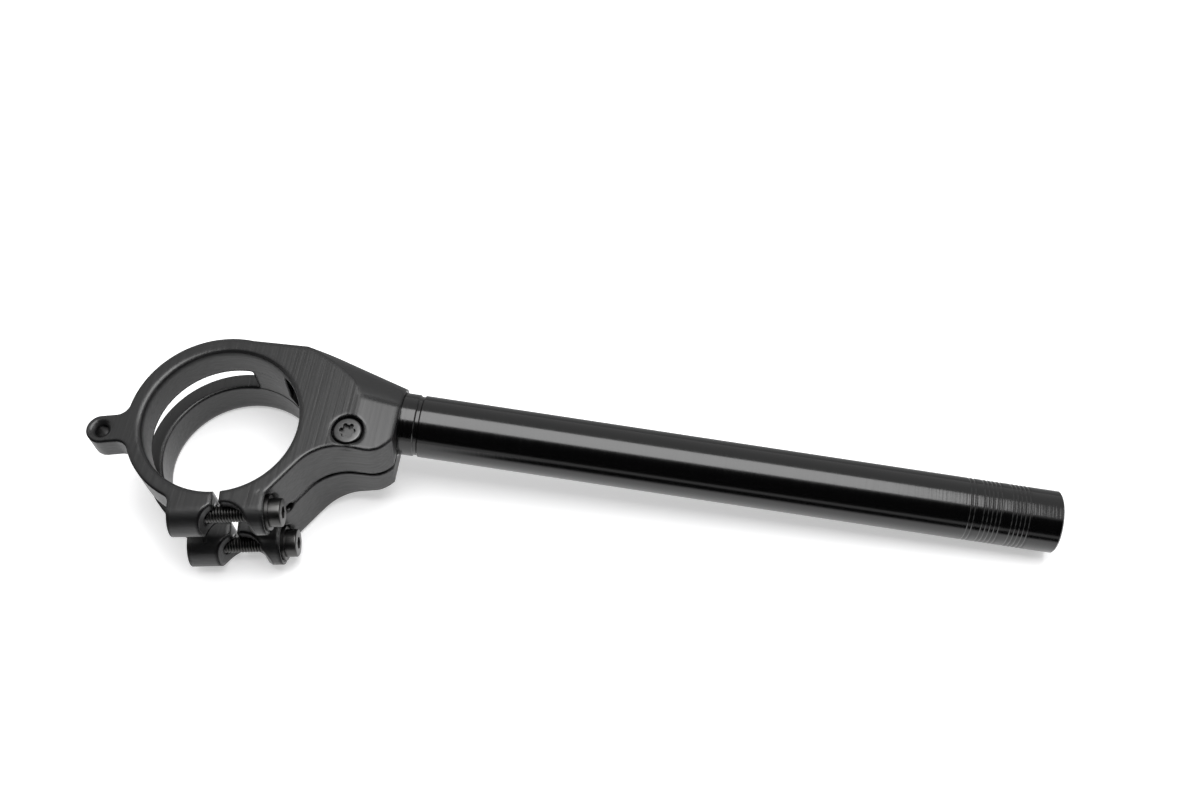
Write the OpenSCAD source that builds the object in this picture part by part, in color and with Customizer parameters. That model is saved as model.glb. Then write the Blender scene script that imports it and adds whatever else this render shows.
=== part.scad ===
// Clip-on handlebar for a motorcycle fork: one machined clamp, one drooping bar tube,
// two clamp screws with washers and one screw that pinches the bar in its socket.
// Origin: fork axis at the middle of the clamp's height. +Z runs up the fork, +X out along the bar.

/* [Fork clamp ring] */
// Diameter of the fork tube bore
fork_d = 54; // [50:0.5:56]
// Wall of the ring round the fork bore
ring_wall = 5.5; // [4.5:0.5:8]
// Height of the clamp along the fork
clamp_h = 40; // [38:1:44]
// Width of the 45 degree chamfer at each mouth of the fork bore
bore_chamfer = 0.7; // [0.3:0.1:1]
// Widening of the short lead-in behind each chamfer
lead_in = 0.3; // [0.1:0.1:0.5]
// Length of the lead-in along the fork bore
lead_in_h = 1.6; // [0.8:0.2:3]
// Relief of the fork bore between its two bands, so that they alone grip the fork
band_relief = 0.15; // [0.1:0.05:0.5]

/* [Wide slot in the ring] */
// Height of the slot's floor above the clamp's bottom face
slot_floor = 15; // [13:1:16]
// Height of the slot
slot_h = 12; // [8:1:13]
// Radius in the corners of the slot's rear end
slot_corner_r = 1.5; // [1:0.5:3]
// Offset of the slot's rear end from the fork axis, towards the bar
slot_rear_x = 1.4; // [-2:0.2:3]
// Direction of the slot's end beside the arm, seen from the fork axis
slot_front_angle = 308; // [300:1:310]

/* [Clamp ears] */
// Turn of the two clamp screws from the X axis
ear_angle = 8.5; // [4:0.5:12]
// Distance from the fork bore's wall out to the line of the clamp screws
screw_out = 5.4; // [5.2:0.2:8]
// Diameter of the rounding of each lug about its screw
lug_d = 15; // [13.5:0.5:15]
// Distance of the threaded lugs' end face from the fork axis
threaded_end = 14; // [12:0.5:17]
// Distance of the head side lugs' end face from the fork axis
head_end = 18.3; // [17:0.1:20]
// Depth of the spot faces under the washers
spot_depth = 0.3; // [0.1:0.1:1]
// Clearance round the washers in their spot faces
spot_fit = 0.6; // [0.3:0.1:1.5]
// How far inside the ring's outer face the arm's wall starts on the lugs' end face
root_in = 3.7; // [3:0.1:4.5]
// Width of the gap that the clamp screws close
gap_w = 2.5; // [1.5:0.5:4]
// Distance of the gap's middle from the fork axis
gap_offset = 2; // [0:0.5:4]
// Radius of the scallop that bares the screw threads
scallop_r = 8; // [7:0.1:8.5]
// Distance of the scallop's middle from the fork axis, along the screws
scallop_offset = 4.5; // [3:0.1:5]
// Distance of the scallop's middle beyond the line of the screws
scallop_reach = 7.1; // [6:0.1:8]
// Angle round the scallop at which it opens out in a straight flank towards the heads
flank_at = 18; // [5:1:30]
// Angle between that flank and the screws
flank_angle = 45; // [30:5:60]
// Radius where the free ear runs into the ring
ear_fillet_r = 4; // [2:0.5:6]

/* [Side tab] */
// Direction of the tab, seen from the fork axis
tab_angle = 192.2; // [180:0.2:215]
// Distance from the ring's outer face to the tab's hole
tab_out = 8.3; // [7:0.1:16]
// Width of the tab
tab_w = 10.2; // [9:0.2:12]
// Thickness of the tab below the clamp's top face
tab_t = 9.7; // [6:0.1:12]
// Diameter of the tab's hole
tab_hole_d = 4.4; // [3.4:0.2:5.4]
// Diameter of the countersink on the tab's hole
tab_sink_d = 7.3; // [6:0.1:8]
// Radius where the tab runs into the ring
tab_fillet_r = 5; // [3:0.5:7]

/* [Bar socket] */
// Angle by which the bar drops below the clamp's top face
droop = 5.35; // [3:0.05:7]
// Offset of the bar's line behind the fork axis
bar_y = 15; // [13:0.2:17]
// Height of the bar's line where it passes the fork axis
bar_z = 27.95; // [27:0.05:30]
// Distance from the fork bore's wall, along the bar's line, to the face of the socket's mouth
mouth_out = 31.8; // [30:0.2:36]
// Radius of the turned socket at its mouth
mouth_r = 12.2; // [12:0.1:13]
// Half angle of the socket's turned taper
socket_taper = 15.6; // [13:0.2:18]
// Offset of the arm's straight rear face in front of the ring's rearmost point
rear_inset = 0.2; // [0.1:0.1:2]
// How far the socket's bore runs on past the fork bore's wall, along the bar's line
socket_past = 11; // [9:0.5:14]
// Clearance round the bar in its socket
bar_fit = 0.05; // [0.02:0.01:0.15]

/* [Pinch block beside the socket] */
// Distance from the fork bore's wall to the start of the sloping top face
top_slope_out = 20; // [16:0.5:22]
// Slope of that top face
top_slope = 16; // [10:1:18]
// Distance from the fork bore's wall to the start of the sloping bottom face
bottom_slope_out = 4.2; // [3:0.2:9]
// Slope of that bottom face
bottom_slope = 21; // [15:1:21]
// Offset of the block's front face in front of the fork axis
front_face = 5.1; // [4.5:0.1:6]
// Distance from the fork bore's wall to the middle of the block's waist
waist_out = 18; // [16:0.5:20]
// Radius of the waist between the block and the ears
waist_r = 17.3; // [16:0.1:19]
// Distance from the fork bore's wall to the middle of the block's round nose
nose_out = 23.5; // [22:0.5:25]
// Radius of the block's round nose
nose_r = 9.2; // [8:0.2:10]
// Angle round the nose at which it runs straight on to the mouth
nose_turn = 55; // [45:5:65]
// Height of the pinch slit above the clamp's bottom face
slit_z = 20.2; // [19:0.1:21]
// Width of the pinch slit
slit_w = 1.2; // [0.8:0.1:2]
// Wall left between the pinch slit and the fork bore
slit_wall = 3.5; // [2:0.5:5]
// Diameter of the round hole that ends the slit
relief_d = 4.4; // [3:0.2:5]
// Distance of that hole from the lugs' end face, along the arm's wall
relief_along = 5.4; // [4:0.2:8]
// Depth of that hole
relief_depth = 4.2; // [3:0.2:5]

/* [Bar tube] */
// Outer diameter of the bar
bar_d = 22; // [21.8:0.1:22.2]
// Wall of the bar
bar_wall = 2; // [1.5:0.5:4]
// Length of the bar
bar_len = 264; // [230:2:300]
// Distance of the bar's inner end from the fork bore's wall
bar_clear = 0.8; // [0.4:0.2:3]
// Distance from the socket's mouth to the grip groove
groove_gap = 5.1; // [3:0.1:12]
// Width of the grip groove
groove_w = 2.1; // [1:0.1:4]
// Depth of the grip groove
groove_depth = 0.5; // [0.2:0.1:1]
// Depth of the fine grooves near the outer end
fine_depth = 0.2; // [0.1:0.05:0.5]
// Width of each fine groove
fine_w = 0.7; // [0.4:0.1:1]
// Distance between neighbouring fine grooves
fine_pitch = 1.5; // [1.2:0.1:2]
// Chamfer on the bar's ends
bar_chamfer = 0.5; // [0.2:0.1:1]

/* [Screws] */
// Thread diameter of the clamp screws
clamp_screw_d = 6; // [5:1:6]
// Length of the clamp screws under the head
clamp_screw_len = 30; // [26:1:31]
// Head diameter of the clamp screws
clamp_head_d = 9.8; // [9:0.1:10]
// Head height of the clamp screws
clamp_head_h = 4; // [3.5:0.5:6]
// Width across the flats of the clamp screws' sockets
clamp_hex = 4; // [3:1:5]
// Outer diameter of the clamp screws' washers
washer_d = 12; // [11:0.5:12]
// Thickness of the washers
washer_t = 1.4; // [0.6:0.2:1.6]
// Thread diameter of the bar's pinch screw
pinch_screw_d = 5; // [4:1:5]
// Length of the pinch screw under the head
pinch_screw_len = 25; // [20:1:26]
// Head diameter of the pinch screw
pinch_head_d = 9.5; // [8:0.5:10]
// Head height of the pinch screw
pinch_head_h = 2.75; // [2:0.25:3]
// Distance from the fork bore's wall to the pinch screw
pinch_out = 17.7; // [16:0.1:19]
// Wall between the pinch screw's hole and the bar
pinch_web = 0.15; // [0.15:0.05:0.5]
// Height of that head's straight rim
pinch_rim_h = 1.6; // [0.8:0.1:1.8]
// Radius of that head's dome
pinch_dome_r = 8; // [6:0.5:12]
// Clearance round that head in its counterbore
pinch_head_fit = 0.85; // [0.3:0.05:1]
// Size across the lobes of that head's socket
lobe_d = 4.5; // [3.5:0.1:4.6]
// Depth of that socket
lobe_depth = 1.7; // [1:0.1:1.9]
// Depth of the pinch screw's head below the clamp's top face
pinch_sink = 0.2; // [0.1:0.1:2]
// Clearance round a screw in its plain hole
screw_fit = 0.15; // [0.1:0.05:0.5]
// Clearance round a screw in its threaded hole
thread_fit = 0.05; // [0.02:0.01:0.1]

/* [Hidden] */
$fn = 96;
over = 1; // how far a cutter runs past the face that it cuts

fork_r = fork_d / 2;
ring_r = fork_r + ring_wall;
far = 2 * ring_r; // reach of a cutter that has to clear the whole arm
screw_line = fork_r + screw_out;
arm_root = ring_r - root_in;
tab_reach = ring_r + tab_out;
rear_face = ring_r - rear_inset;
mouth = fork_r + mouth_out;
socket_end = fork_r - socket_past;
top_slope_x = fork_r + top_slope_out;
bottom_slope_x = fork_r + bottom_slope_out;
waist_x = fork_r + waist_out;
nose_x = fork_r + nose_out;
pinch_x = fork_r + pinch_out;
bar_start = fork_r + bar_clear;
lug_r = lug_d / 2;
upper_screw_z = clamp_h - lug_r;
lower_screw_z = slot_floor - lug_r;
bar_r = bar_d / 2;
socket_r = bar_r + bar_fit;
bar_end = bar_start + bar_len;
taper_k = tan(socket_taper);

clamp_screw_r = clamp_screw_d / 2;
washer_seat = head_end - spot_depth;
head_seat = washer_seat + washer_t;
pinch_screw_r = pinch_screw_d / 2;
pinch_recess_r = pinch_head_d / 2 + pinch_head_fit;
pinch_seat = clamp_h - pinch_sink - pinch_head_h;
pinch_y = bar_y - socket_r - pinch_web - pinch_screw_r - screw_fit;

// Fine grooves: distance of each group's first groove from the bar's outer end, and its count
fine_groups = [[11.2, 5], [21.2, 5], [30.4, 2]];

// Middle of the waist and of the nose, and the point where the nose runs straight
waist_c = [waist_x, -front_face - waist_r];
nose_c = [nose_x, nose_r - front_face];
nose_dir = [sin(nose_turn), -cos(nose_turn)];
nose_end = nose_c + nose_r * nose_dir;
nose_along = [cos(nose_turn), sin(nose_turn)];

// How far a rounding is sunk in what it meets, so that their faces cross at a clear angle
bite = 0.03;
lug_root = fork_r + ring_wall / 4;

// The arm's front wall runs straight from the end face of the head side lugs to the waist
ear_u = [cos(ear_angle), sin(ear_angle)];
ear_w = [sin(ear_angle), -cos(ear_angle)];
wall_start = head_end * ear_u + arm_root * ear_w;
to_waist = wall_start - waist_c;
wall_turn = atan2(to_waist[1], to_waist[0]) - acos(waist_r / norm(to_waist));
wall_end = waist_c + waist_r * [cos(wall_turn), sin(wall_turn)];
wall_dir = (wall_end - wall_start) / norm(wall_end - wall_start);
relief_at = wall_start + relief_along * wall_dir;

tab_u = [cos(tab_angle), sin(tab_angle)];
tab_v = [-sin(tab_angle), cos(tab_angle)];
tab_at = tab_reach * tab_u;

// Heights are counted from the clamp's bottom face, and this sets the origin at its mid height
module in_frame() {
    translate([0, 0, -clamp_h / 2]) children();
}

// Places its children on the bar's line, at a distance s out from the fork axis
module on_bar(s = 0) {
    translate([0, bar_y, bar_z]) rotate([0, 90 + droop, 0]) translate([0, 0, s]) children();
}

// Places its children in the frame of the ears: X along the screws, -Y outwards
module in_ears() {
    rotate([0, 0, ear_angle]) children();
}

// Places its children on a clamp screw's line, with +Z towards its head
module on_screw(z, u = 0) {
    in_ears() translate([u, -screw_line, z]) rotate([0, 90, 0]) children();
}

// Concave web between the ring and an edge that runs out along one direction, at an offset to its side
module ring_web(along, side, offset, r) {
    rise = offset + r - bite;
    run = sqrt(pow(ring_r + r - bite, 2) - pow(rise, 2));
    difference() {
        polygon([[0, 0], run * along + rise * side, run * along + offset / 2 * side]);
        translate(run * along + rise * side) circle(r);
    }
}

// Outline of the pinch block, seen from above, up to the bar's line
module block_outline() {
    tip = nose_end + nose_r * nose_along;
    difference() {
        union() {
            polygon([[0, bar_y], [0, 0], wall_start - wall_dir, wall_end, [waist_x, -front_face],
                     [nose_x, -front_face], nose_end, tip, [tip[0], bar_y]]);
            translate(nose_c) circle(nose_r);
        }
        translate(waist_c) circle(waist_r);
    }
}

// Side view of the arm with its two sloping faces, swept across the whole clamp
module arm_envelope() {
    far_x = mouth + bar_d;
    translate([0, rear_face, 0]) rotate([90, 0, 0]) linear_extrude(2 * far)
        polygon([[3, 0], [bottom_slope_x, 0], [far_x, (far_x - bottom_slope_x) * tan(bottom_slope)],
                 [far_x, clamp_h - (far_x - top_slope_x) * tan(top_slope)],
                 [top_slope_x, clamp_h], [3, clamp_h]]);
}

module arm() {
    difference() {
        intersection() {
            arm_envelope();
            union() {
                on_bar() cylinder(h = mouth, r1 = mouth_r + mouth * taper_k, r2 = mouth_r);
                linear_extrude(clamp_h) block_outline();
            }
        }
        on_bar(mouth) translate([-far, -far, 0]) cube([2 * far, 2 * far, far]);
    }
}

// Block that reaches out to a screw's line, with its outer side rounded about that line
module lug(z) {
    reach = screw_line + lug_r + over;
    len = threaded_end + head_end + 2 * over;
    intersection() {
        translate([0, 0, z - lug_r]) linear_extrude(lug_d)
            polygon([lug_root * ear_w - threaded_end * ear_u, reach * ear_w - threaded_end * ear_u,
                     reach * ear_w + head_end * ear_u, lug_root * ear_w + head_end * ear_u]);
        on_screw(z, -threaded_end - over) {
            cylinder(h = len, r = lug_r + bite);
            translate([-lug_d, 0, 0]) cube([2 * lug_d, screw_line, len]);
        }
    }
}

module free_ear_webs() {
    for (z = [upper_screw_z, lower_screw_z])
        translate([0, 0, z - lug_r]) linear_extrude(lug_d) ring_web(ear_w, -ear_u, threaded_end, ear_fillet_r);
}

module tab() {
    half = tab_w / 2 * tab_v;
    translate([0, 0, clamp_h - tab_t]) linear_extrude(tab_t) {
        translate(tab_at) circle(tab_w / 2 + bite);
        polygon([-half, tab_at - half, tab_at + half, half]);
        ring_web(tab_u, tab_v, tab_w / 2, tab_fillet_r);
        ring_web(tab_u, -tab_v, tab_w / 2, tab_fillet_r);
    }
}

module fork_bore() {
    translate([0, 0, slot_floor]) cylinder(h = slot_h, r = fork_r + band_relief);
    lead_r = fork_r + lead_in;
    mouth_r_out = lead_r + bore_chamfer + over;
    plain_z = bore_chamfer + lead_in_h;
    rotate_extrude() polygon([[0, -over], [mouth_r_out, -over], [lead_r, bore_chamfer],
                              [fork_r, plain_z], [fork_r, clamp_h - plain_z],
                              [lead_r, clamp_h - bore_chamfer], [mouth_r_out, clamp_h + over],
                              [0, clamp_h + over]]);
}

// Slot through the ring and its lugs: a wedge round the fork axis and a rear end with rounded corners
module wide_slot() {
    reach = far;
    end_w = 4 * slot_corner_r;
    steps = 4;
    first = 90 + asin((end_w / 2 - slot_rear_x) / ring_r);
    sweep = slot_front_angle - first;
    translate([0, 0, slot_floor]) linear_extrude(slot_h) polygon(concat([[0, 0]],
        [for (i = [0:steps]) reach * [cos(first + i * sweep / steps), sin(first + i * sweep / steps)]]));
    translate([slot_rear_x, reach, slot_floor]) rotate([90, 0, 0]) linear_extrude(reach) union() {
        translate([-end_w, 0]) square([end_w - slot_corner_r, slot_h]);
        translate([-end_w, slot_corner_r]) square([end_w, slot_h - 2 * slot_corner_r]);
        for (z = [slot_corner_r, slot_h - slot_corner_r]) translate([-slot_corner_r, z]) circle(slot_corner_r);
    }
}

module pinch_slit() {
    translate([0, 0, slit_z - slit_w / 2]) linear_extrude(slit_w) difference() {
        translate([0, -ring_r]) square([far, ring_r + bar_y]);
        circle(fork_r + slit_wall);
        // keeps the slit to the arm side of the round hole that ends it
        polygon([[0, 0], relief_at, relief_at + far * [wall_dir[1], -wall_dir[0]], [0, -2 * far]]);
    }
    translate([relief_at[0], relief_at[1], slit_z])
        rotate([0, 0, atan2(wall_dir[1], wall_dir[0]) - 90]) translate([-relief_depth, 0, 0]) rotate([0, 90, 0])
            cylinder(h = 2 * relief_depth, d = relief_d);
}

module ear_cuts() {
    h = clamp_h + 2 * over;
    flank_from = (scallop_r - bite) * [cos(flank_at), sin(flank_at)];
    in_ears() {
        translate([gap_offset - gap_w / 2, -far, -over]) cube([gap_w, far, h]);
        translate([scallop_offset, -screw_line - scallop_reach, -over]) {
            cylinder(h = h, r = scallop_r);
            linear_extrude(h) polygon([[0, 0], [0, -far], flank_from + far * [cos(flank_angle), -sin(flank_angle)],
                                       flank_from]);
        }
    }
    for (z = [upper_screw_z, lower_screw_z]) {
        on_screw(z, -threaded_end - over) cylinder(h = threaded_end + over + gap_offset, r = clamp_screw_r + thread_fit);
        on_screw(z, gap_offset) cylinder(h = head_end + over - gap_offset, r = clamp_screw_r + screw_fit);
        on_screw(z, washer_seat) cylinder(h = washer_t + clamp_head_h + over, r = washer_d / 2 + spot_fit);
    }
}

module pinch_screw_cuts() {
    translate([pinch_x, pinch_y, pinch_seat]) cylinder(h = clamp_h, r = pinch_recess_r);
    translate([pinch_x, pinch_y, slit_z]) cylinder(h = clamp_h - slit_z, r = pinch_screw_r + screw_fit);
    translate([pinch_x, pinch_y, -over]) cylinder(h = slit_z + over, r = pinch_screw_r + thread_fit);
}

module tab_hole() {
    sink_h = (tab_sink_d - tab_hole_d) / 2;
    translate(tab_at) {
        translate([0, 0, clamp_h - tab_t - over]) cylinder(h = tab_t + 2 * over, d = tab_hole_d);
        translate([0, 0, clamp_h - sink_h]) cylinder(h = sink_h + over, d1 = tab_hole_d, d2 = tab_sink_d + 2 * over);
    }
}

module clamp_body() {
    color([0.13, 0.13, 0.14]) difference() {
        union() {
            cylinder(h = clamp_h, r = ring_r);
            arm();
            lug(upper_screw_z);
            lug(lower_screw_z);
            free_ear_webs();
            tab();
        }
        fork_bore();
        on_bar(socket_end) cylinder(h = mouth, r = socket_r);
        wide_slot();
        ear_cuts();
        pinch_slit();
        pinch_screw_cuts();
        tab_hole();
    }
}

// Ring-shaped cut into the bar's surface, w wide and deep deep, starting at distance s
module bar_ring_cut(s, w, deep) {
    translate([0, 0, s]) rotate_extrude() translate([bar_r - deep, 0]) square([deep + over, w]);
}

module bar_tube() {
    groove_at = mouth + groove_gap - bar_start;
    color([0.1, 0.1, 0.11]) on_bar(bar_start) difference() {
        union() {
            cylinder(h = bar_chamfer, r1 = bar_r - bar_chamfer, r2 = bar_r);
            translate([0, 0, bar_chamfer]) cylinder(h = bar_len - 2 * bar_chamfer, r = bar_r);
            translate([0, 0, bar_len - bar_chamfer]) cylinder(h = bar_chamfer, r1 = bar_r, r2 = bar_r - bar_chamfer);
        }
        translate([0, 0, -over]) cylinder(h = bar_len + 2 * over, r = bar_r - bar_wall);
        bar_ring_cut(groove_at, groove_w, groove_depth);
        for (group = fine_groups) for (i = [0:group[1] - 1])
            bar_ring_cut(bar_len - group[0] - i * fine_pitch - fine_w, fine_w, fine_depth);
    }
}

module clamp_screw(z) {
    rim = 0.6;
    socket_depth = clamp_head_h / 2;
    color([0.16, 0.16, 0.17]) on_screw(z, head_seat) difference() {
        union() {
            translate([0, 0, -clamp_screw_len]) cylinder(h = clamp_screw_len + over, r = clamp_screw_r);
            cylinder(h = clamp_head_h - rim, d = clamp_head_d);
            translate([0, 0, clamp_head_h - rim]) cylinder(h = rim, d1 = clamp_head_d, d2 = clamp_head_d - 2 * rim);
        }
        translate([0, 0, clamp_head_h - socket_depth])
            cylinder(h = socket_depth + over, d = clamp_hex / cos(30), $fn = 6);
    }
}

module washer(z) {
    color([0.14, 0.14, 0.15]) on_screw(z, washer_seat) difference() {
        cylinder(h = washer_t, d = washer_d);
        translate([0, 0, -over]) cylinder(h = washer_t + 2 * over, r = clamp_screw_r + screw_fit);
    }
}

// Six-lobed socket, as a star of six rounded lobes
module lobe_socket(d, depth) {
    lobes = 6;
    cylinder(h = depth, d = 0.72 * d);
    for (i = [0:lobes - 1]) rotate([0, 0, i * 360 / lobes]) translate([0.36 * d, 0, 0])
        cylinder(h = depth, d = 0.28 * d);
}

module bar_pinch_screw() {
    dome_z = pinch_rim_h - sqrt(pow(pinch_dome_r, 2) - pow(pinch_head_d / 2, 2));
    color([0.2, 0.2, 0.21]) translate([pinch_x, pinch_y, pinch_seat]) difference() {
        union() {
            translate([0, 0, -pinch_screw_len]) cylinder(h = pinch_screw_len + over, r = pinch_screw_r);
            intersection() {
                cylinder(h = pinch_head_h, d = pinch_head_d);
                translate([0, 0, dome_z]) sphere(pinch_dome_r);
            }
        }
        translate([0, 0, pinch_head_h - lobe_depth]) lobe_socket(lobe_d, lobe_depth + over);
    }
}

in_frame() clamp_body();
in_frame() bar_tube();
in_frame() clamp_screw(upper_screw_z);  // upper_clamp_screw
in_frame() clamp_screw(lower_screw_z);  // lower_clamp_screw
in_frame() washer(upper_screw_z);  // upper_washer
in_frame() washer(lower_screw_z);  // lower_washer
in_frame() bar_pinch_screw();
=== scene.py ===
import math

import bmesh
import bpy
from mathutils import Euler, Matrix, Vector


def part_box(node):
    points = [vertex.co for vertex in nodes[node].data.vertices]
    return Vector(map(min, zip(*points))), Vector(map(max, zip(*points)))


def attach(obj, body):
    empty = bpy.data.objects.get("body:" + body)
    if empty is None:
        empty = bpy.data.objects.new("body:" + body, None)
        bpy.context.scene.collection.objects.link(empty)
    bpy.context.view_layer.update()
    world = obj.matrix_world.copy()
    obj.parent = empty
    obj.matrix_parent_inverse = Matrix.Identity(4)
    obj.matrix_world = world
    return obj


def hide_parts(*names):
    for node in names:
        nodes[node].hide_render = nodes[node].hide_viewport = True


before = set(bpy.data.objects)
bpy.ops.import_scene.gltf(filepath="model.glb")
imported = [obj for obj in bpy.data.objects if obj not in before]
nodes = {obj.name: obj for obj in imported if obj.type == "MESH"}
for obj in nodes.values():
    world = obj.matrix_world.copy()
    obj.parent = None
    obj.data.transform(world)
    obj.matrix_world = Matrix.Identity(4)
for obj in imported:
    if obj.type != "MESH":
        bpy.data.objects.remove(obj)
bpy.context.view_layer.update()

# A clip-on handlebar on a lit table. Lengths are in metres, angles in degrees.
scene = bpy.context.scene


def deselectAll():
    if bpy.context.object and bpy.context.object.mode != "OBJECT":
        bpy.ops.object.mode_set(mode="OBJECT")
    bpy.ops.object.select_all(action="DESELECT")


def pickOnly(obj):
    deselectAll()
    obj.select_set(True)
    bpy.context.view_layer.objects.active = obj


def startEdit(obj, mode="VERT"):
    pickOnly(obj)
    bpy.ops.object.mode_set(mode="EDIT")
    bpy.ops.mesh.select_mode(type=mode)
    bpy.ops.mesh.select_all(action="DESELECT")


def applyModifiers(obj):
    pickOnly(obj)
    for mod in list(obj.modifiers):
        bpy.ops.object.modifier_apply(modifier=mod.name)


def addCylinder(sides, radius, depth, at):
    deselectAll()
    bpy.ops.mesh.primitive_cylinder_add(vertices=sides, radius=radius, depth=depth, location=at)
    bpy.ops.object.transform_apply(location=True)
    return bpy.context.object


def joinPieces(first, others):
    deselectAll()
    for obj in (first, *others):
        obj.select_set(True)
    bpy.context.view_layer.objects.active = first
    bpy.ops.object.join()


def giveFinish(obj, mat):
    if not obj.material_slots:
        obj.data.materials.append(mat)
    for slot in obj.material_slots:
        slot.material = mat


# puts a finished mesh in its place under the root body and hides the node that it stands for
def finishPiece(obj, place, mat, node, smoothBelow):
    obj.data.transform(place)
    startEdit(obj)
    bpy.ops.mesh.select_all(action="SELECT")
    bpy.ops.mesh.normals_make_consistent(inside=False)
    bpy.ops.object.mode_set(mode="OBJECT")
    bpy.ops.object.shade_smooth_by_angle(angle=math.radians(smoothBelow))
    giveFinish(obj, mat)
    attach(obj, "root")
    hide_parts(node)


# shader helpers: each adds one node and returns its result
def ramp(tree, source, low, high, start, end):
    node = tree.nodes.new("ShaderNodeMapRange")
    node.interpolation_type = "SMOOTHSTEP"
    for socket, value in zip(("From Min", "From Max", "To Min", "To Max"), (low, high, start, end)):
        node.inputs[socket].default_value = value
    tree.links.new(source, node.inputs["Value"])
    return node.outputs["Result"]


def combine(tree, operation, first, second):
    node = tree.nodes.new("ShaderNodeMath")
    node.operation = operation
    tree.links.new(first, node.inputs[0])
    tree.links.new(second, node.inputs[1])
    return node.outputs["Value"]


def blend(tree, factor, first, second):
    node = tree.nodes.new("ShaderNodeMix")
    node.data_type = "FLOAT"
    tree.links.new(factor, node.inputs["Factor"])
    tree.links.new(first, node.inputs["A"])
    tree.links.new(second, node.inputs["B"])
    return node.outputs["Result"]


def splitAxes(tree, source):
    node = tree.nodes.new("ShaderNodeSeparateXYZ")
    tree.links.new(source, node.inputs["Vector"])
    return node.outputs


# finishes: black anodised aluminium and black steel
finishSpec = {
    "grainDetail": 4.0,
    "roughnessSpread": 0.09,  # how far the grain moves the roughness either way
    "bumpDepth": 0.0002,
    "edgeSamples": 8,
    "gloss": 0.5,
    "flatFrom": 0.90,         # upright share of the normal from which a face counts as flat
    "flatTo": 0.97,
    "edgeTo": 0.955,          # cosine of the normal's turn at a fully rounded edge
    "edgeFrom": 0.996,
    "forwardTo": -0.45,       # how far an edge leans forward before its painted shade is full
    "forwardFrom": -0.20,
}
bodyFinish = {
    "color": (0.005, 0.005, 0.0053),
    "metallic": 0.0,
    "roughness": 0.40,
    "flatRoughness": 0.31,    # on faces that look straight up or down
    "edge": 0.0022,           # the broken edges, seen as dark lines: partly their real rounding, partly painted shade from lowered gloss
    "edgeRoughness": 0.13,
    # gloss of a forward-looking broken edge: painted shade that darkens the edge line
    "paintedEdgeGloss": 0.06,
    "grain": (14.0, 900.0, 900.0),      # milling marks run along X on the sides
    "flatGrain": (900.0, 14.0, 900.0),  # and along Y on the flat faces
    "bump": 0.4,
}
barFinish = {
    "color": (0.0015, 0.0015, 0.0016),
    "metallic": 0.0,
    "roughness": 0.15,
    "edge": 0.00008,
    "edgeRoughness": 0.13,
    "paintedEdgeGloss": 0.15,
    "grain": (1500.0, 12.0, 12.0),      # turning marks run round the bar
    "bump": 0.2,
}
steelFinish = {
    "color": (0.070, 0.069, 0.068),
    "metallic": 1.0,
    "roughness": 0.34,
    "edge": 0.00006,
    "edgeRoughness": 0.25,
    "paintedEdgeGloss": 0.5,
    "grain": (400.0, 400.0, 400.0),
    "bump": 0.02,
}
brightFinish = {
    "color": (0.075, 0.075, 0.075),
    "metallic": 1.0,
    "roughness": 0.33,
    "edge": 0.0001,
    "edgeRoughness": 0.25,
    "paintedEdgeGloss": 0.5,
    "grain": (300.0, 300.0, 300.0),
    "bump": 0.03,
}


def makeGrain(tree, coords, scale):
    stretch = tree.nodes.new("ShaderNodeMapping")
    stretch.inputs["Scale"].default_value = scale
    grain = tree.nodes.new("ShaderNodeTexNoise")
    grain.inputs["Scale"].default_value = 1.0
    grain.inputs["Detail"].default_value = finishSpec["grainDetail"]
    tree.links.new(coords.outputs["Object"], stretch.inputs["Vector"])
    tree.links.new(stretch.outputs["Vector"], grain.inputs["Vector"])
    return grain.outputs["Fac"]


def spreadRoughness(tree, grain, middle):
    node = tree.nodes.new("ShaderNodeMapRange")
    node.inputs["To Min"].default_value = middle - finishSpec["roughnessSpread"]
    node.inputs["To Max"].default_value = middle + finishSpec["roughnessSpread"]
    tree.links.new(grain, node.inputs["Value"])
    return node.outputs["Result"]


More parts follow.
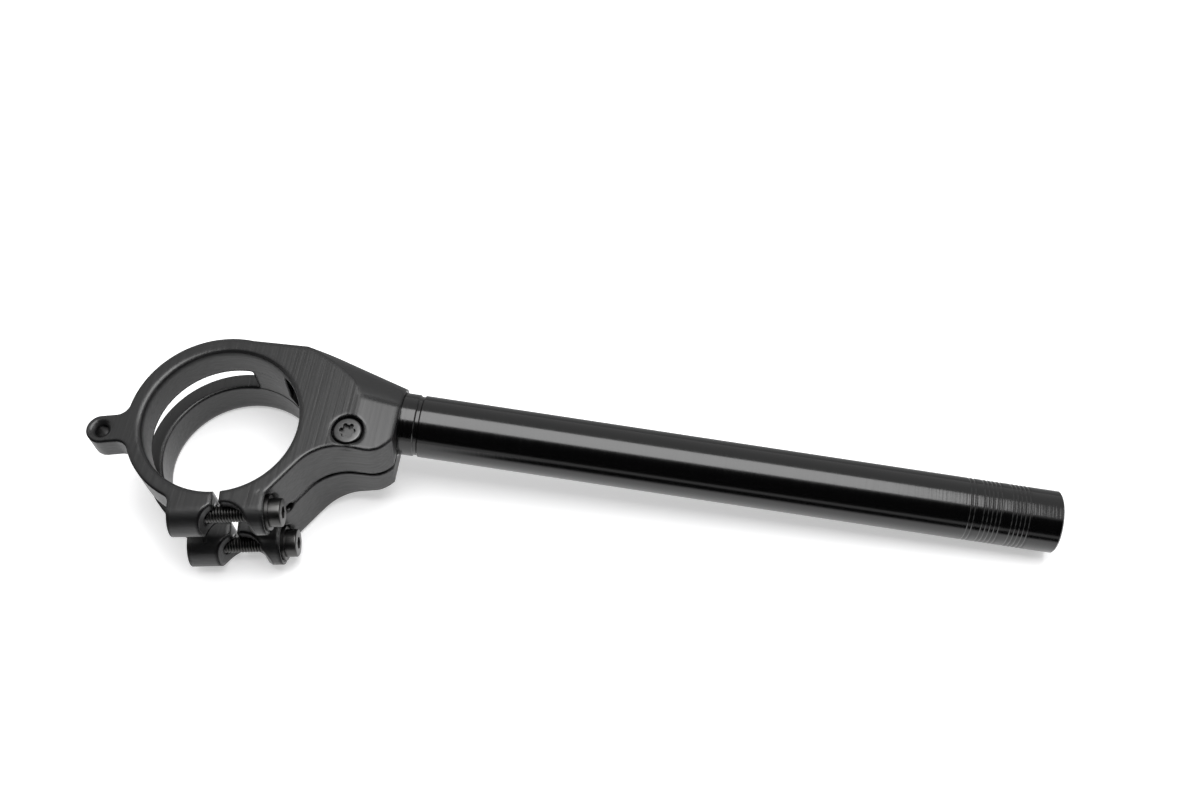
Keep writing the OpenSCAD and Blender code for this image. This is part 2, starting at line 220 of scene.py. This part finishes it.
def makeFinish(name, spec):
    mat = bpy.data.materials.new(name)
    mat.use_nodes = True
    tree = mat.node_tree
    link = tree.links.new
    shader = tree.nodes["Principled BSDF"]
    shader.inputs["Base Color"].default_value = (*spec["color"], 1.0)
    shader.inputs["Metallic"].default_value = spec["metallic"]

    # the grain and the roughness change with the way that a face looks
    coords = tree.nodes.new("ShaderNodeTexCoord")
    upright = tree.nodes.new("ShaderNodeMath")
    upright.operation = "ABSOLUTE"
    link(splitAxes(tree, coords.outputs["Normal"])["Z"], upright.inputs[0])
    flat = ramp(tree, upright.outputs["Value"], finishSpec["flatFrom"], finishSpec["flatTo"], 0.0, 1.0)
    side = makeGrain(tree, coords, spec["grain"])
    top = makeGrain(tree, coords, spec.get("flatGrain", spec["grain"]))
    grain = blend(tree, flat, side, top)
    sideRough = spreadRoughness(tree, grain, spec["roughness"])
    topRough = spreadRoughness(tree, grain, spec.get("flatRoughness", spec["roughness"]))
    faceRough = blend(tree, flat, sideRough, topRough)

    # the broken edges are smoother than the faces, so they mirror the dark side of the room
    rounding = tree.nodes.new("ShaderNodeBevel")
    rounding.samples = finishSpec["edgeSamples"]
    rounding.inputs["Radius"].default_value = spec["edge"]
    faces = tree.nodes.new("ShaderNodeNewGeometry")
    turned = tree.nodes.new("ShaderNodeVectorMath")
    turned.operation = "DOT_PRODUCT"
    link(rounding.outputs["Normal"], turned.inputs[0])
    link(faces.outputs["Normal"], turned.inputs[1])
    onEdge = ramp(tree, turned.outputs["Value"], finishSpec["edgeTo"], finishSpec["edgeFrom"], 1.0, 0.0)
    edgeRough = tree.nodes.new("ShaderNodeValue").outputs["Value"]
    edgeRough.default_value = spec["edgeRoughness"]
    link(blend(tree, onEdge, faceRough, edgeRough), shader.inputs["Roughness"])

    # painted shade: where a broken edge looks forward its gloss is lowered, so it mirrors next to nothing
    # and shows as a dark line
    lean = splitAxes(tree, rounding.outputs["Normal"])["Y"]
    forward = ramp(tree, lean, finishSpec["forwardTo"], finishSpec["forwardFrom"], 1.0, 0.0)
    paintedEdgeShade = combine(tree, "MULTIPLY", onEdge, forward)
    gloss = ramp(tree, paintedEdgeShade, 0.0, 1.0, finishSpec["gloss"], spec["paintedEdgeGloss"])
    link(gloss, shader.inputs["Specular IOR Level"])

    bump = tree.nodes.new("ShaderNodeBump")
    bump.inputs["Strength"].default_value = spec["bump"]
    bump.inputs["Distance"].default_value = finishSpec["bumpDepth"]
    link(grain, bump.inputs["Height"])
    link(rounding.outputs["Normal"], bump.inputs["Normal"])
    link(bump.outputs["Normal"], shader.inputs["Normal"])
    return mat


bodyMat = makeFinish("anodised_body", bodyFinish)
barMat = makeFinish("anodised_bar", barFinish)
steelMat = makeFinish("black_steel", steelFinish)
brightMat = makeFinish("bright_black_steel", brightFinish)
for mat, nodeNames in (
    (bodyMat, ("clamp_body",)),
    (barMat, ("bar_tube",)),
    (steelMat, ("upper_washer", "lower_washer", "upper_clamp_screw", "lower_clamp_screw")),
    (brightMat, ("bar_pinch_screw",)),
):
    for nodeName in nodeNames:
        giveFinish(nodes[nodeName], mat)
print("finishes made")


# screw heads: a cylinder with its top rim rounded and a socket cut in it
headSpec = {
    "around": 96,
    "rimSteps": 5,
    "topFrom": 0.9,  # upright share of the normal from which a face is the top
}


def makeHead(name, radius, height, rim):
    head = addCylinder(headSpec["around"], radius, height, (0, 0, height / 2))
    head.name = name
    startEdit(head, "FACE")
    mesh = bmesh.from_edit_mesh(head.data)
    for face in mesh.faces:
        face.select_set(face.normal.z > headSpec["topFrom"])
    bmesh.update_edit_mesh(head.data)
    bpy.ops.mesh.bevel(offset=rim, segments=headSpec["rimSteps"], affect="EDGES")
    bpy.ops.object.mode_set(mode="OBJECT")
    return head


def cutSocket(head, tools):
    for tool in tools:
        cut = head.modifiers.new("socket", "BOOLEAN")
        cut.object = tool
        cut.operation = "DIFFERENCE"
        cut.solver = "EXACT"
    applyModifiers(head)
    deselectAll()
    for tool in tools:
        tool.select_set(True)
    bpy.ops.object.delete()


# turned and threaded shapes: a profile is drawn point by point and wound round Z
profileSpec = {
    "seedSize": 0.001,  # of the plane that is merged to the profile's first point
    "weldBelow": 1e-6,  # points nearer than this become one
}


# a chain of edges through (radius, height) points, all in the XZ plane
def makeProfile(name, points):
    deselectAll()
    bpy.ops.mesh.primitive_plane_add(size=profileSpec["seedSize"], location=(0, 0, 0))
    chain = bpy.context.object
    chain.name = name
    startEdit(chain)
    bpy.ops.mesh.select_all(action="SELECT")
    bpy.ops.mesh.merge(type="CENTER")
    bpy.ops.transform.translate(value=(points[0][0], 0.0, points[0][1]))
    for last, point in zip(points, points[1:]):
        step = (point[0] - last[0], 0.0, point[1] - last[1])
        bpy.ops.mesh.extrude_region_move(TRANSFORM_OT_translate={"value": step})
    bpy.ops.object.mode_set(mode="OBJECT")
    return chain


def wind(chain, turns, rise, steps):
    mod = chain.modifiers.new("wind", "SCREW")
    mod.axis = "Z"
    mod.angle = 2 * math.pi
    mod.screw_offset = rise
    mod.iterations = turns
    mod.steps = steps
    mod.render_steps = steps
    mod.use_merge_vertices = True
    mod.merge_threshold = profileSpec["weldBelow"]
    applyModifiers(chain)
    startEdit(chain)
    bpy.ops.mesh.select_all(action="SELECT")
    bpy.ops.mesh.remove_doubles(threshold=profileSpec["weldBelow"])


# clamp screws with rolled threads
screwSpec = {
    "turn": 8.5,            # turn of both clamp screws from the X axis
    "line": 0.0324,         # distance of their line from the fork axis
    "heights": {"upper": 0.0125, "lower": -0.0125},
    "headSeat": 0.0194,
    "length": 0.030,
    "radius": 0.003,
    "pitch": 0.001,
    "threadDepth": 0.0006,
    "threadPlay": 0.00002,  # the thread is this much under size
    "crestFrom": 0.42,      # parts of the pitch
    "crestTo": 0.58,
    "shoulderFrom": 0.28,
    "shoulderTo": 0.72,
    "shoulderDrop": 0.2,    # part of the thread's depth
    "threadAround": 32,
    "neckPitches": 1.5,     # plain length under the head
    "neckAround": 64,
    "headRadius": 0.0049,
    "headHeight": 0.004,
    "rim": 0.0006,
    "hex": 0.004,
    "hexDepth": 0.002,
    "smoothBelow": 50.0,
}


def screwPlace(height):
    turn = Matrix.Rotation(math.radians(screwSpec["turn"]), 4, "Z")
    shift = Matrix.Translation((screwSpec["headSeat"], -screwSpec["line"], height))
    lay = Matrix.Rotation(math.radians(90), 4, "Y")
    return turn @ shift @ lay


# closes the open rim in the upper or the lower half of a mesh in edit mode
def closeRim(obj, upper, middle):
    bpy.ops.mesh.select_all(action="DESELECT")
    bpy.ops.mesh.select_non_manifold(extend=False)
    mesh = bmesh.from_edit_mesh(obj.data)
    for vert in mesh.verts:
        if (vert.co.z > middle) != upper:
            vert.select_set(False)
    mesh.select_flush_mode()
    bmesh.update_edit_mesh(obj.data)
    bpy.ops.mesh.edge_face_add()


def makeThread(name):
    pitch, length = screwSpec["pitch"], screwSpec["length"]
    outer = screwSpec["radius"] - screwSpec["threadPlay"]
    root = outer - screwSpec["threadDepth"]
    shoulder = outer - screwSpec["shoulderDrop"] * screwSpec["threadDepth"]
    profile = (
        (root, 0.0),
        (shoulder, screwSpec["shoulderFrom"]),
        (outer, screwSpec["crestFrom"]),
        (outer, screwSpec["crestTo"]),
        (shoulder, screwSpec["shoulderTo"]),
        (root, 1.0),
    )
    thread = makeProfile(name, [(radius, part * pitch - length) for radius, part in profile])
    wind(thread, int(length / pitch) - 1, pitch, screwSpec["threadAround"])
    for upper in (True, False):
        closeRim(thread, upper, -length / 2)
    bpy.ops.object.mode_set(mode="OBJECT")
    neck = screwSpec["neckPitches"] * pitch
    return thread, addCylinder(screwSpec["neckAround"], root, neck, (0, 0, -neck / 2))


def makeClampScrew(which):
    name = which + "_clamp_screw_detail"
    height = screwSpec["headHeight"]
    head = makeHead(name, screwSpec["headRadius"], height, screwSpec["rim"])
    hexRadius = screwSpec["hex"] / 2 / math.cos(math.radians(30))
    cutSocket(head, [addCylinder(6, hexRadius, 2 * screwSpec["hexDepth"], (0, 0, height))])
    joinPieces(head, makeThread(name + "_thread"))
    finishPiece(head, screwPlace(screwSpec["heights"][which]), steelMat,
                which + "_clamp_screw", screwSpec["smoothBelow"])


for which in ("upper", "lower"):
    makeClampScrew(which)
print("clamp screws made")


# the sunk screw: a flat button head with a six-lobed socket
pinchSpec = {
    "radius": 0.0049,
    "height": 0.00275,
    "rim": 0.0007,
    "shankRadius": 0.0025,
    "shankAround": 64,
    "lobes": 6,
    "lobeReach": 0.0029,
    "lobeDepth": 0.0017,
    "lobeSize": 0.28,   # a lobe's radius as a part of the reach
    "lobeAround": 24,
    "coreAround": 48,
    "smoothBelow": 35.0,
}


def makePinchScrew():
    low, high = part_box("bar_pinch_screw")
    height, depth = pinchSpec["height"], 2 * pinchSpec["lobeDepth"]
    head = makeHead("bar_pinch_screw_detail", pinchSpec["radius"], height, pinchSpec["rim"])
    lobeRadius = pinchSpec["lobeSize"] * pinchSpec["lobeReach"]
    coreRadius = pinchSpec["lobeReach"] - lobeRadius
    tools = [addCylinder(pinchSpec["coreAround"], coreRadius, depth, (0, 0, height))]
    for i in range(pinchSpec["lobes"]):
        turn = 2 * math.pi * i / pinchSpec["lobes"]
        at = (coreRadius * math.cos(turn), coreRadius * math.sin(turn), height)
        tools.append(addCylinder(pinchSpec["lobeAround"], lobeRadius, depth, at))
    cutSocket(head, tools)
    length = high[2] - height - low[2]
    shank = addCylinder(pinchSpec["shankAround"], pinchSpec["shankRadius"], length, (0, 0, -length / 2))
    joinPieces(head, [shank])
    seat = ((low[0] + high[0]) / 2, (low[1] + high[1]) / 2, high[2] - height)
    finishPiece(head, Matrix.Translation(seat), brightMat, "bar_pinch_screw",
                pinchSpec["smoothBelow"])


makePinchScrew()
print("sunk screw made")


# the bar, turned from its profile
barSpec = {
    "droop": 5.35,
    "line": (0.0, 0.015, 0.00795),  # a point on the bar's line, beside the fork axis
    "start": 0.0278,                # measured along the line from that point
    "end": 0.2918,
    "radius": 0.011,
    "bore": 0.009,
    "endBreak": 0.0005,
    "grooveFrom": 0.0639,
    "grooveTo": 0.0660,
    "grooveDepth": 0.0005,
    "grooveBreak": 0.0005,
    "fineGroups": ((0.01155, 5), (0.02155, 5), (0.03075, 2)),  # first groove from the end, count
    "finePitch": 0.0015,
    "fineWidth": 0.0010,
    "fineBreak": 0.42,              # part of the width
    "fineDepth": 0.0002,
    "around": 192,
    "smoothBelow": 20.0,
}


# the corners of one groove as (place along the bar, depth)
def groove(start, end, depth, slope):
    return [(start, 0.0), (start + slope, depth), (end - slope, depth), (end, 0.0)]


def makeBar():
    radius, bore, edge = barSpec["radius"], barSpec["bore"], barSpec["endBreak"]
    start, end = barSpec["start"], barSpec["end"]
    width = barSpec["fineWidth"]
    slope = barSpec["fineBreak"] * width
    fine = []
    for first, count in barSpec["fineGroups"]:
        fine += [end - first - i * barSpec["finePitch"] for i in range(count)]
    cuts = groove(barSpec["grooveFrom"], barSpec["grooveTo"], barSpec["grooveDepth"], barSpec["grooveBreak"])
    for centre in sorted(fine):
        cuts += groove(centre - width / 2, centre + width / 2, barSpec["fineDepth"], slope)
    points = [(bore, start), (radius - edge, start), (radius, start + edge)]
    points += [(radius - depth, along) for along, depth in cuts]
    points += [(radius, end - edge), (radius - edge, end), (bore, end), (bore, start)]
    bar = makeProfile("bar_tube_detail", points)
    wind(bar, 1, 0.0, barSpec["around"])
    bpy.ops.object.mode_set(mode="OBJECT")
    lay = Matrix.Rotation(math.radians(90 + barSpec["droop"]), 4, "Y")
    place = Matrix.Translation(barSpec["line"]) @ lay
    finishPiece(bar, place, barMat, "bar_tube", barSpec["smoothBelow"])


makeBar()
print("bar made")


# the table is lit, and mirrors dark in front of the bar and behind the part
floorSpec = {
    "size": 6.0,
    "slope": 1.816,         # the handlebar lies on the ring's far edge and on the bar's end
    "height": -0.02106,
    "color": (0.80, 0.80, 0.805),
    "roughness": 0.9,
    "gloss": 0.1,
    "glow": 0.45,
    "darkFrom": -0.075,     # in reflections the floor in front of the bar turns dark here
    "darkTo": -0.035,
    "darkSideFrom": 0.05,   # and only beside the clamp, not under its ears
    "darkSideTo": 0.09,
    "darkBehindFrom": 0.03,
    "darkBehindTo": 0.05,
    "darkBehind": 0.75,     # how dark it gets there
}


def makeFloorFinish():
    mat = bpy.data.materials.new("floor_paper")
    mat.use_nodes = True
    tree = mat.node_tree
    paper = tree.nodes["Principled BSDF"]
    paper.inputs["Base Color"].default_value = (*floorSpec["color"], 1.0)
    paper.inputs["Roughness"].default_value = floorSpec["roughness"]
    paper.inputs["Specular IOR Level"].default_value = floorSpec["gloss"]
    paper.inputs["Emission Color"].default_value = (1.0, 1.0, 1.0, 1.0)
    paper.inputs["Emission Strength"].default_value = floorSpec["glow"]
    dark = tree.nodes.new("ShaderNodeBsdfDiffuse")
    dark.inputs["Color"].default_value = (0.0, 0.0, 0.0, 1.0)
    axes = splitAxes(tree, tree.nodes.new("ShaderNodeTexCoord").outputs["Object"])
    inFront = ramp(tree, axes["Y"], floorSpec["darkFrom"], floorSpec["darkTo"], 1.0, 0.0)
    beside = ramp(tree, axes["X"], floorSpec["darkSideFrom"], floorSpec["darkSideTo"], 0.0, 1.0)
    behind = ramp(tree, axes["Y"], floorSpec["darkBehindFrom"], floorSpec["darkBehindTo"], 0.0,
                  floorSpec["darkBehind"])
    zone = combine(tree, "MAXIMUM", combine(tree, "MULTIPLY", inFront, beside), behind)
    glossyRay = tree.nodes.new("ShaderNodeLightPath").outputs["Is Glossy Ray"]
    cover = tree.nodes.new("ShaderNodeMixShader")
    tree.links.new(combine(tree, "MULTIPLY", zone, glossyRay), cover.inputs["Fac"])
    tree.links.new(paper.outputs["BSDF"], cover.inputs[1])
    tree.links.new(dark.outputs["BSDF"], cover.inputs[2])
    tree.links.new(cover.outputs["Shader"], tree.nodes["Material Output"].inputs["Surface"])
    return mat


deselectAll()
bpy.ops.mesh.primitive_plane_add(size=floorSpec["size"], location=(0, 0, 0))
floor = bpy.context.object
floor.name = "floor"
floor.rotation_euler = Euler((0.0, math.radians(floorSpec["slope"]), 0.0))
floor.location = (0, 0, floorSpec["height"])
giveFinish(floor, makeFloorFinish())
print("floor made")


# one soft box overhead
lampSpec = {
    "at": (0.235, 0.20, 1.00),
    "aim": (0.235, 0.20, 0.0),
    "size": (0.80, 0.80),
    "power": 12.0,
}
deselectAll()
bpy.ops.object.light_add(type="AREA", location=lampSpec["at"])
lamp = bpy.context.object
lamp.name = "overhead"
lamp.data.shape = "RECTANGLE"
lamp.data.size, lamp.data.size_y = lampSpec["size"]
lamp.data.energy = lampSpec["power"]
away = Vector(lampSpec["aim"]) - Vector(lampSpec["at"])
lamp.rotation_euler = away.to_track_quat("-Z", "Y").to_euler()


# the room is dark in front, above the horizon, and bright elsewhere, and the camera sees it white
roomSpec = {
    "walls": 0.75,       # brightness of the room behind and beside the part
    "front": 0.0,        # brightness of the dark side of the room, behind the camera
    "frontFrom": -0.36,  # how far forward a direction points before the room is fully dark
    "frontTo": -0.20,
    "lowFrom": 0.12,     # height of a direction below which the room is bright all round
    "lowTo": 0.20,
}


def makeRoom():
    world = bpy.data.worlds.new("studio")
    scene.world = world
    world.use_nodes = True
    tree = world.node_tree
    axes = splitAxes(tree, tree.nodes.new("ShaderNodeTexCoord").outputs["Generated"])
    behind = ramp(tree, axes["Y"], roomSpec["frontFrom"], roomSpec["frontTo"], 0.0, 1.0)
    low = ramp(tree, axes["Z"], roomSpec["lowFrom"], roomSpec["lowTo"], 1.0, 0.0)
    bright = combine(tree, "MAXIMUM", behind, low)
    room = tree.nodes["Background"]
    room.inputs["Color"].default_value = (1.0, 1.0, 1.0, 1.0)
    strength = ramp(tree, bright, 0.0, 1.0, roomSpec["front"], roomSpec["walls"])
    tree.links.new(strength, room.inputs["Strength"])
    white = tree.nodes.new("ShaderNodeBackground")
    white.inputs["Color"].default_value = (1.0, 1.0, 1.0, 1.0)
    mix = tree.nodes.new("ShaderNodeMixShader")
    tree.links.new(tree.nodes.new("ShaderNodeLightPath").outputs["Is Camera Ray"], mix.inputs["Fac"])
    tree.links.new(room.outputs["Background"], mix.inputs[1])
    tree.links.new(white.outputs["Background"], mix.inputs[2])
    tree.links.new(mix.outputs["Shader"], tree.nodes["World Output"].inputs["Surface"])


makeRoom()
print("light made")


# the camera stands where the photo was taken
cameraSpec = {
    "location": (0.176914, -0.219935, 0.454309),
    "turn": (29.6414, 1.8856, 7.9054),
    "lens": 43.78,
    "sensor": 36.0,
    "nearest": 0.01,
}
deselectAll()
bpy.ops.object.camera_add(location=cameraSpec["location"])
camera = bpy.context.object
camera.rotation_euler = Euler([math.radians(angle) for angle in cameraSpec["turn"]])
camera.data.lens = cameraSpec["lens"]
camera.data.sensor_width = cameraSpec["sensor"]
camera.data.clip_start = cameraSpec["nearest"]
scene.camera = camera
scene.view_settings.view_transform = "Standard"
print("camera placed")
